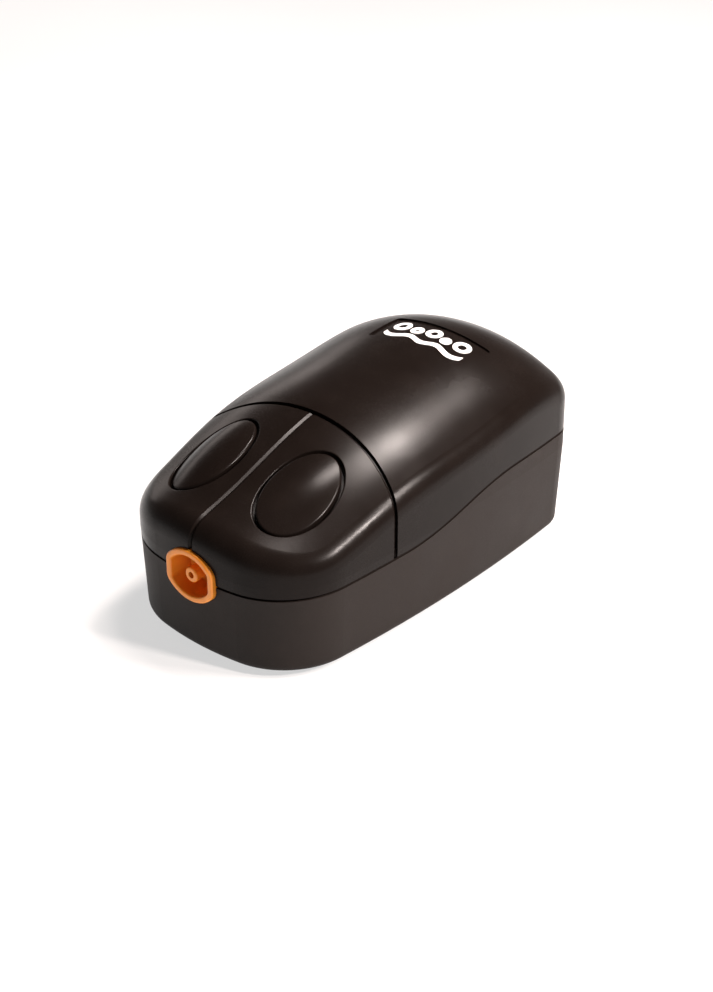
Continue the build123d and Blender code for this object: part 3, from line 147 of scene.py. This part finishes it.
def material(name):
    """A new material: its tree, shader and object coordinates."""
    made = bpy.data.materials.new(name)
    made.use_nodes = True
    tree = made.node_tree
    place = tree.nodes.new("ShaderNodeTexCoord").outputs["Object"]
    return made, tree, tree.nodes["Principled BSDF"], place


# ---------------------------------------------------------------- kinds of material
NOISE_SPREAD = (0.3, 0.7)  # the range that most noise values lie in

WEAR_SIZE = 9 * MM
WEAR_SPREAD = (0.5, 0.75)  # noise values between which the wear sets in
WEAR_MOST = 0.35
FLOW_SPREAD = (0.3, 0.75)
FLOW_SHADE = 1.18
FLOW_LIFT = 0.001
FLOW_DEPTH = 2.0  # times the depth of the grain
GRAIN_ROUGHNESS = (-0.03, 0.05)
SCATTER_REACH = (1.0, 0.35, 0.12)  # of red, green and blue
SCATTER_DEPTH = 1.2 * MM


def moulded(name, colour, worn, roughness, grain, depth, gloss=0.5, sheen=0.0, scatter=0.0,
            flow=22 * MM):
    """Moulded plastic or rubber: fine grain, faint flow marks, and light handling wear.

    grain and flow are the sizes of the grain and of the flow marks, and depth is the grain's.
    """
    made, tree, shader, place = material(name)
    fine = noise(tree, place, grain, 2.0)
    broad = noise(tree, place, flow, 4.0)
    rubbed = noise(tree, place, WEAR_SIZE, 6.0)
    wear = scaled(tree, rubbed, (0.0, WEAR_MOST), WEAR_SPREAD)
    lighter = tuple(channel + FLOW_LIFT for channel in shaded(colour, FLOW_SHADE))
    tint = ramp(tree, broad, list(zip(FLOW_SPREAD, (colour, lighter))))
    feed(tree, mixed(tree, wear, tint, (*worn, 1)), shader.inputs["Base Color"])
    broad_rough = scaled(tree, broad, roughness, NOISE_SPREAD)
    fine_rough = scaled(tree, fine, GRAIN_ROUGHNESS, NOISE_SPREAD)
    feed(tree, maths(tree, "ADD", broad_rough, fine_rough), shader.inputs["Roughness"])
    waviness = bump(tree, broad, depth * FLOW_DEPTH)
    feed(tree, bump(tree, fine, depth, waviness), shader.inputs["Normal"])
    shader.inputs["Specular IOR Level"].default_value = gloss
    shader.inputs["Sheen Weight"].default_value = sheen
    if scatter:
        shader.inputs["Subsurface Weight"].default_value = scatter
        shader.inputs["Subsurface Radius"].default_value = SCATTER_REACH
        shader.inputs["Subsurface Scale"].default_value = SCATTER_DEPTH
    return made


SCRATCH_SIZE = 0.25 * MM
SCRATCH_DEPTH = 0.004 * MM
SCRATCH_STRETCH = (1.0, 1.0, 0.1)  # ten times as long in Z as they are wide
PATINA_SIZE = 4 * MM
PATINA_SPREAD = (0.35, 0.65)
PATINA_SHADE = 0.82


def metal(name, colour, roughness):
    """Metal with fine scratches along one direction and a slight patina."""
    made, tree, shader, place = material(name)
    lines = noise(tree, place, SCRATCH_SIZE, 4.0, SCRATCH_STRETCH)
    patina = noise(tree, place, PATINA_SIZE, 5.0)
    tint = ramp(tree, patina, list(zip(PATINA_SPREAD, (shaded(colour, PATINA_SHADE), colour))))
    feed(tree, tint, shader.inputs["Base Color"])
    shader.inputs["Metallic"].default_value = 1.0
    feed(tree, scaled(tree, lines, roughness, NOISE_SPREAD), shader.inputs["Roughness"])
    feed(tree, bump(tree, lines, SCRATCH_DEPTH), shader.inputs["Normal"])
    return made


CREASE_SHADE_WIDTH = 0.3  # share of half a layer over which the painted crease shade fades into the colour
LAYER_DEPTH = 0.15  # share of the pitch
STREAK_SIZE = 3 * MM
STREAK_GREYS = (0.6, 1.0)
STREAK_AMOUNT = 0.35
LAYER_METALLIC = 0.5


def striped(name, colour, crease_shade, pitch, axis, roughness):
    """Layers or turns stacked along an axis, such as wound wire, with painted shade in the crease
    between each two.
    """
    made, tree, shader, place = material(name)
    split = tree.nodes.new("ShaderNodeSeparateXYZ")
    feed(tree, place, split.inputs[0])
    half = pitch / 2
    turns = maths(tree, "PINGPONG", split.outputs[axis], half)
    height = scaled(tree, turns, (0.0, 1.0), (0.0, half))
    streak = noise(tree, place, STREAK_SIZE, 4.0)
    # painted shade: the colour darkens towards the bottom of the crease between each two turns or
    # layers
    tint = ramp(tree, height, [(0.0, crease_shade), (CREASE_SHADE_WIDTH, colour)])
    greys = ramp(tree, streak, list(zip(NOISE_SPREAD, STREAK_GREYS)))
    streaked = mixed(tree, STREAK_AMOUNT, tint, greys, "MULTIPLY")
    feed(tree, streaked, shader.inputs["Base Color"])
    shader.inputs["Metallic"].default_value = LAYER_METALLIC
    feed(tree, scaled(tree, streak, roughness, NOISE_SPREAD), shader.inputs["Roughness"])
    feed(tree, bump(tree, height, pitch * LAYER_DEPTH), shader.inputs["Normal"])
    return made


FIBRE_SIZE = 0.35 * MM
FIBRE_WAYS = ((1.0, 0.25, 1.0), (0.25, 1.0, 1.0))  # along Y and along X
FIBRE_SPREAD = (0.4, 0.7)
FIBRE_SHADE = 0.55
FIBRE_DEPTH = 0.2 * MM
FELT_ROUGHNESS = (0.85, 1.0)
FELT_SHEEN = 0.4


def felt(name, colour):
    """Pressed felt: tangled fibres with soft sheen."""
    made, tree, shader, place = material(name)
    layers = [noise(tree, place, FIBRE_SIZE, 8.0, way) for way in FIBRE_WAYS]
    fibres = maths(tree, "MAXIMUM", *layers)
    tint = ramp(tree, fibres, list(zip(FIBRE_SPREAD, (shaded(colour, FIBRE_SHADE), colour))))
    feed(tree, tint, shader.inputs["Base Color"])
    feed(tree, scaled(tree, fibres, FELT_ROUGHNESS), shader.inputs["Roughness"])
    feed(tree, bump(tree, fibres, FIBRE_DEPTH), shader.inputs["Normal"])
    shader.inputs["Sheen Weight"].default_value = FELT_SHEEN
    return made


# ---------------------------------------------------------------- materials
SKINS = {
    "cover_plastic": moulded(
        "satin_black", (0.0055, 0.0037, 0.003), worn=(0.011, 0.0078, 0.0065),
        roughness=(0.2, 0.26), grain=0.22 * MM, depth=0.004 * MM, gloss=0.095,
    ),
    "base_plastic": moulded(
        "matt_black", (0.012, 0.0083, 0.0068), worn=(0.02, 0.0146, 0.0122),
        roughness=(0.5, 0.6), grain=0.3 * MM, depth=0.014 * MM, gloss=0.17,
    ),
    "white_print": moulded(
        "white_ink", (0.84, 0.84, 0.83), worn=(0.6, 0.6, 0.58),
        roughness=(0.4, 0.5), grain=0.12 * MM, depth=0.006 * MM, flow=4 * MM,
    ),
    "orange_plastic": moulded(
        "orange_plastic", (0.78, 0.25, 0.02), worn=(0.8, 0.34, 0.05),
        roughness=(0.3, 0.38), grain=0.2 * MM, depth=0.006 * MM, scatter=0.04, flow=6 * MM,
    ),
    "black_rubber": moulded(
        "black_rubber", (0.02, 0.02, 0.02), worn=(0.07, 0.068, 0.066),
        roughness=(0.62, 0.75), grain=0.25 * MM, depth=0.03 * MM, sheen=0.15,
    ),
    "natural_nylon": moulded(
        "natural_nylon", (0.5, 0.47, 0.4), worn=(0.42, 0.38, 0.3),
        roughness=(0.42, 0.52), grain=0.25 * MM, depth=0.01 * MM, scatter=0.2,
    ),
    "pump_plastic": moulded(
        "grey_plastic", (0.2, 0.21, 0.22), worn=(0.27, 0.28, 0.29),
        roughness=(0.4, 0.5), grain=0.25 * MM, depth=0.012 * MM,
    ),
    "silicone": moulded(
        "silicone", (0.42, 0.45, 0.46), worn=(0.5, 0.52, 0.52),
        roughness=(0.25, 0.35), grain=0.4 * MM, depth=0.006 * MM, scatter=0.5,
    ),
    "ferrite": moulded(
        "ferrite", (0.06, 0.06, 0.065), worn=(0.14, 0.14, 0.14),
        roughness=(0.5, 0.65), grain=0.2 * MM, depth=0.02 * MM,
    ),
    "steel": metal("zinc_plated_steel", (0.62, 0.62, 0.64), roughness=(0.25, 0.42)),
    "brass_tabs": metal("brass", (0.76, 0.56, 0.26), roughness=(0.25, 0.4)),
    # painted shade: the darker colour below is shade in the creases between the laminations
    "core_steel": striped(
        "varnished_laminations", (0.13, 0.1, 0.085), crease_shade=(0.02, 0.016, 0.014),
        pitch=1.0 * MM, axis=2, roughness=(0.35, 0.5),
    ),
    # painted shade: the darker colour below is shade in the creases between turns of wire
    "copper_wire": striped(
        "enamelled_wire", (0.42, 0.15, 0.055), crease_shade=(0.1, 0.03, 0.01),
        pitch=0.5 * MM, axis=1, roughness=(0.28, 0.38),
    ),
    "felt": felt("filter_felt", (0.55, 0.53, 0.48)),
}
slots = {part["node"]: part["material_slot"] for part in frame["record"]["subparts"]}
for name, node in nodes.items():
    node.data.materials.clear()
    node.data.materials.append(SKINS[slots[name]])

# ---------------------------------------------------------------- diaphragm
RIM_BEAD = (1.5 * MM, 2.4 * MM)  # thickness along the axis, and width
HUB_DEPTH = 2.5 * MM
HUB_RADIUS = 5.4 * MM
HUB_HOLE = 1.3 * MM  # radius
MEMBRANE = 1.0 * MM
FOLD = 0.8 * MM
FOLD_STEPS = 16
TURN_STEPS = 72
CORNER = math.radians(50)  # edges sharper than this are rounded
CORNER_WIDTH = 0.2 * MM


def diaphragm_outline(rim_x, hub_x, rim_radius):
    """Closed outline, as (x, radius).

    It has a hub, a membrane with one rolled fold, and the bead that the ring clamps.
    """
    bead_depth, bead_width = RIM_BEAD
    bead_radius = rim_radius - bead_width
    start = hub_x - HUB_DEPTH / 2
    end = rim_x + bead_depth / 2
    front, back = [], []
    for step in range(FOLD_STEPS + 1):
        along = step / FOLD_STEPS
        eased = along * along * (3 - 2 * along)
        x = start + (end - start) * eased - FOLD * math.sin(2 * math.pi * along)
        radius = HUB_RADIUS + (bead_radius - HUB_RADIUS) * along
        front.append((x + MEMBRANE / 2, radius))
        back.append((x - MEMBRANE / 2, radius))
    hub_front = [(hub_x, HUB_HOLE), (hub_x, HUB_RADIUS)]
    hub_back = [(hub_x - HUB_DEPTH, HUB_RADIUS), (hub_x - HUB_DEPTH, HUB_HOLE)]
    bead_front = [(rim_x + bead_depth, bead_radius), (rim_x + bead_depth, rim_radius)]
    bead_back = [(rim_x, rim_radius), (rim_x, bead_radius)]
    return hub_front + front + bead_front + bead_back + back[::-1] + hub_back


def turned(name, outline, centre):
    """A smooth solid: a closed (x, radius) outline turned about the line along X at centre."""
    form = bmesh.new()
    rings = []
    for turn in range(TURN_STEPS):
        spin = Matrix.Rotation(2 * math.pi * turn / TURN_STEPS, 3, "X")
        points = [spin @ Vector((x, radius, 0)) + centre for x, radius in outline]
        rings.append([form.verts.new(point) for point in points])
    for turn, ring in enumerate(rings):
        following = rings[(turn + 1) % TURN_STEPS]
        for place in range(len(outline)):
            after = (place + 1) % len(outline)
            form.faces.new((ring[place], following[place], following[after], ring[after]))
    bmesh.ops.recalc_face_normals(form, faces=form.faces)
    corners = [edge for edge in form.edges if edge.calc_face_angle(0) > CORNER]
    bmesh.ops.bevel(
        form, geom=corners, offset=CORNER_WIDTH, segments=2, profile=0.5, affect="EDGES"
    )
    for face in form.faces:
        face.smooth = True
    mesh = bpy.data.meshes.new(name)
    form.to_mesh(mesh)
    form.free()
    made = bpy.data.objects.new(name, mesh)
    bpy.context.scene.collection.objects.link(made)
    return made


low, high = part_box("diaphragm")
centre = Vector((0, (low[1] + high[1]) / 2, (low[2] + high[2]) / 2))
outline = diaphragm_outline(low[0], high[0], (high[1] - low[1]) / 2)
diaphragm = turned("diaphragm_rubber", outline, centre)
diaphragm.data.materials.append(SKINS[slots["diaphragm"]])
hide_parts("diaphragm")
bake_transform(diaphragm)

# ---------------------------------------------------------------- floor
FLOOR_SPAN = 30  # times the object's diagonal
PAPER_MOTTLE = 0.2
PAPER_GREYS = (0.34, 0.36)
PAPER_GLOWS = (0.96, 0.98)  # lifts the paper to white where little light falls on it
PAPER_GLOW_STRENGTH = 0.62
PAPER_ROUGHNESS = 0.9

low, high = cad_box
middle = (low + high) / 2
size = (high - low).length

bpy.ops.mesh.primitive_plane_add(size=size * FLOOR_SPAN, location=(middle.x, middle.y, low.z))
floor = bpy.context.object
floor.name = "floor"
paper, tree, shader, place = material("pale_paper")
mottle = noise(tree, place, PAPER_MOTTLE, 3.0)
for socket, greys in (("Base Color", PAPER_GREYS), ("Emission Color", PAPER_GLOWS)):
    feed(tree, ramp(tree, mottle, list(zip(NOISE_SPREAD, greys))), shader.inputs[socket])
shader.inputs["Emission Strength"].default_value = PAPER_GLOW_STRENGTH
shader.inputs["Roughness"].default_value = PAPER_ROUGHNESS
floor.data.materials.append(paper)

# ---------------------------------------------------------------- surroundings
SKY_HEIGHTS = (-0.1, 0.75)  # Z of the view direction at the ramp's two ends
SKY_STOPS = [
    (0.0, (0.6, 0.54, 0.51)),
    (0.35, (0.26, 0.23, 0.22)),
    (0.7, (0.06, 0.054, 0.051)),
]

scene = bpy.context.scene
world = bpy.data.worlds.new("studio")
world.use_nodes = True
sky = world.node_tree
sky_split = sky.nodes.new("ShaderNodeSeparateXYZ")
feed(sky, sky.nodes.new("ShaderNodeTexCoord").outputs["Generated"], sky_split.inputs[0])
sky_height = scaled(sky, sky_split.outputs["Z"], (0.0, 1.0), SKY_HEIGHTS)
feed(sky, ramp(sky, sky_height, SKY_STOPS), sky.nodes["Background"].inputs["Color"])
scene.world = world
scene.view_settings.view_transform = "Standard"


# ---------------------------------------------------------------- lights
def placed(name, data, target, azimuth, elevation, distance):
    """A light or camera that looks at target; azimuth 0 is in front of it, 90 on its right."""
    turn, rise = math.radians(azimuth), math.radians(elevation)
    level = math.cos(rise)
    back = Vector((math.sin(turn) * level, -math.cos(turn) * level, math.sin(rise)))
    made = bpy.data.objects.new(name, data)
    made.location = target + back * distance
    made.rotation_mode = "QUATERNION"
    made.rotation_quaternion = back.to_track_quat("Z", "Y")
    scene.collection.objects.link(made)
    return made


LIGHT_COLOUR = (1.0, 0.89, 0.84)
# azimuth and elevation in degrees; distance, width and height times the object's diagonal; watts
SOFTBOXES = {
    "overhead_softbox": (175, 75, 4, 0.8, 0.8, 3.0),
    "rear_softbox": (176, 64, 4, 0.6, 0.6, 4.5),
    "right_softbox": (114, 44, 4, 0.6, 0.9, 3.8),
    "right_kicker": (99, 36.5, 4, 0.35, 0.45, 5.2),
    "left_fill": (-112, 12, 5, 3.0, 0.8, 0.4),
}
for name, (azimuth, elevation, distance, width, height, power) in SOFTBOXES.items():
    lamp = bpy.data.lights.new(name, "AREA")
    lamp.shape = "RECTANGLE"
    lamp.size = size * width
    lamp.size_y = size * height
    lamp.energy = power
    lamp.color = LIGHT_COLOUR
    placed(name, lamp, middle, azimuth, elevation, size * distance)

# ---------------------------------------------------------------- camera
CAMERA_AZIMUTH = 41.45
CAMERA_ELEVATION = 29.8
CAMERA_DISTANCE = 0.5787
AIM_HEIGHT = 0.030
LENS = 70.94
SENSOR_WIDTH = 36.0
SHIFT = (0.0093, -0.0191)

camera_data = bpy.data.cameras.new("camera")
camera_data.lens = LENS
camera_data.sensor_width = SENSOR_WIDTH
camera_data.shift_x, camera_data.shift_y = SHIFT
aim = Vector((0, 0, AIM_HEIGHT))
camera = placed("camera", camera_data, aim, CAMERA_AZIMUTH, CAMERA_ELEVATION, CAMERA_DISTANCE)
scene.camera = camera

bpy.context.view_layer.update()
